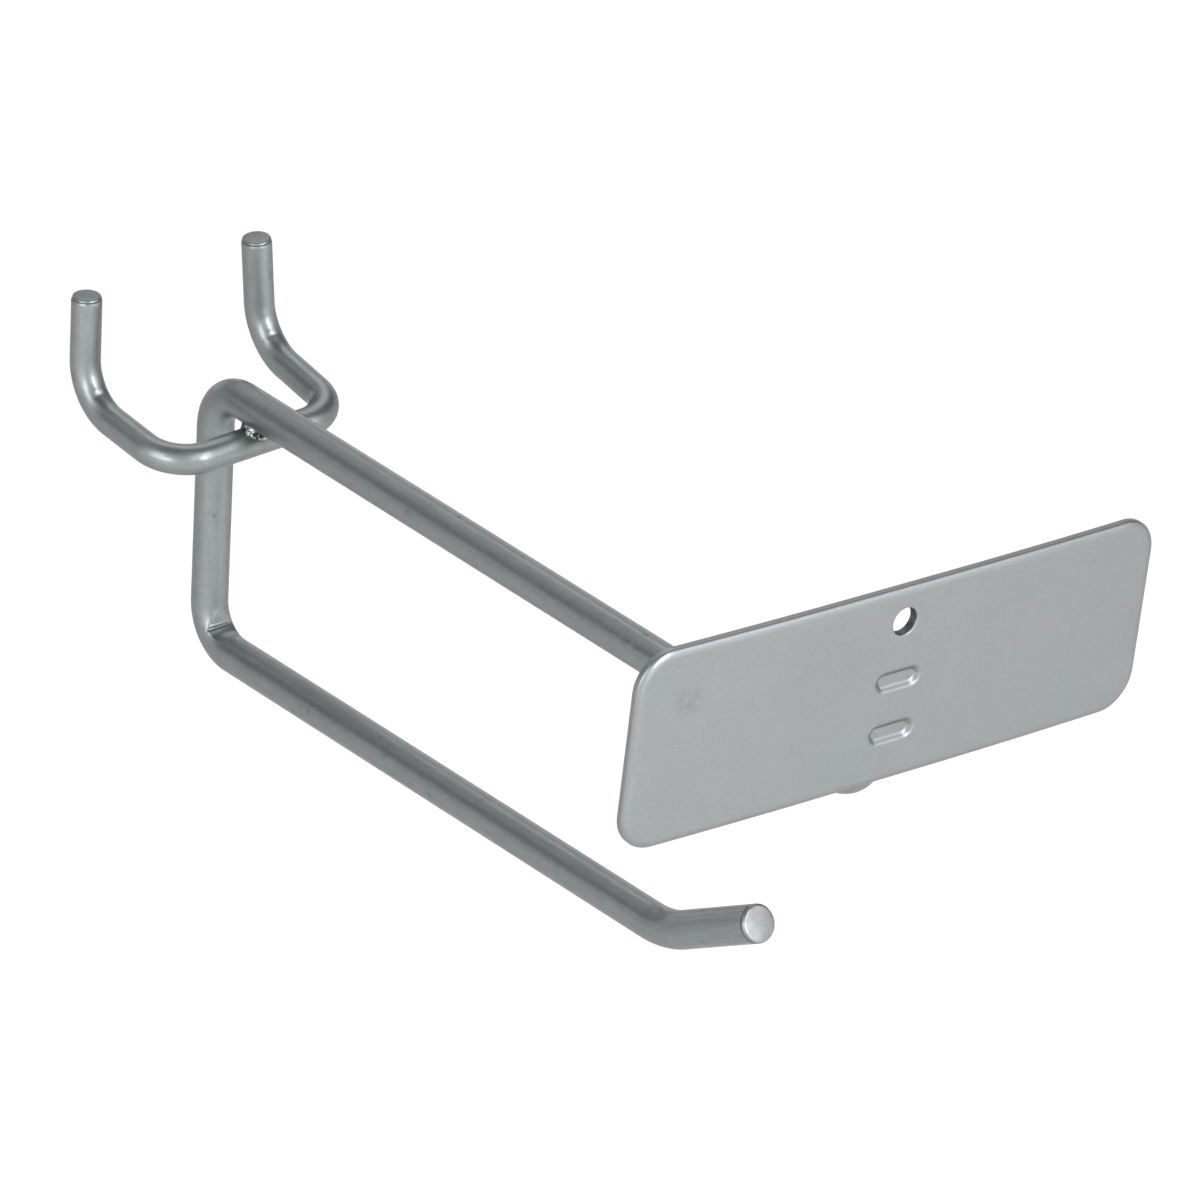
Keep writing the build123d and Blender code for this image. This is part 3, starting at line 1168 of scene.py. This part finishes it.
def light_studio():
    """The soft lamps, in a world without light of its own."""
    lamp_distance = 1.3
    world = bpy.data.worlds.new("studio")
    world.use_nodes = True
    backdrop = world.node_tree.nodes["Background"]
    backdrop.inputs["Color"].default_value = (1, 1, 1, 1)
    backdrop.inputs["Strength"].default_value = 0.0
    bpy.context.scene.world = world
    for name, (azimuth, elevation, size, power) in lamps.items():
        soft_light(name, azimuth, elevation, lamp_distance, size, power)


def set_camera():
    """The photograph's own view, set by where it shows the hook wire's top back corner."""
    azimuth, elevation, roll = -39.794, 26.855, radians(3.438)
    distance, focal_pixels, picture = 957.06 * mm, 8109.58, 1200
    seen_right, seen_down = 217.23, 384.20
    back = direction(azimuth, elevation)
    level = Vector((cos(radians(azimuth)), sin(radians(azimuth)), 0))
    above = back.cross(level)
    right = level * cos(roll) + above * sin(roll)
    up = above * cos(roll) - level * sin(roll)
    off_right = (seen_right - picture / 2) / focal_pixels * distance
    off_up = (picture / 2 - seen_down) / focal_pixels * distance
    lens = bpy.data.cameras.new("camera")
    lens.sensor_width = 36
    lens.lens = focal_pixels / picture * lens.sensor_width
    lens.clip_start = 0.05
    lens.clip_end = 50
    camera = add_object("camera", lens)
    turn = Matrix((right, up, back)).transposed()
    place_at = top_back - right * off_right - up * off_up + back * distance
    camera.matrix_world = Matrix.Translation(place_at) @ turn.to_4x4()
    bpy.context.scene.camera = camera
    bpy.context.scene.view_settings.view_transform = "Standard"


def dress(piece, node=None):
    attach(piece, "root")
    if node:
        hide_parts(node)


hook_coat = wire_coat_finish("silver_powder_coat_hook_wire", wire_radius, tip_rounding, cut_tint)
peg_coat = wire_coat_finish("silver_powder_coat_peg_wire", peg_radius, peg_rounding, wire_tint)
weld_coat = weld_finish()
wire_tree = bent_wire_tree()
dress(make_hook_wire(wire_tree, hook_coat), "hook_wire")
dress(make_peg_wire(wire_tree, peg_coat), "peg_wire")
dress(make_weld(weld_coat), "crossbar_weld")
dress(make_label_plate(sheet_coat_finish(), hole_wall_finish()), "label_plate")
dress(make_plate_welds(weld_coat))
make_floor()
light_studio()
set_camera()
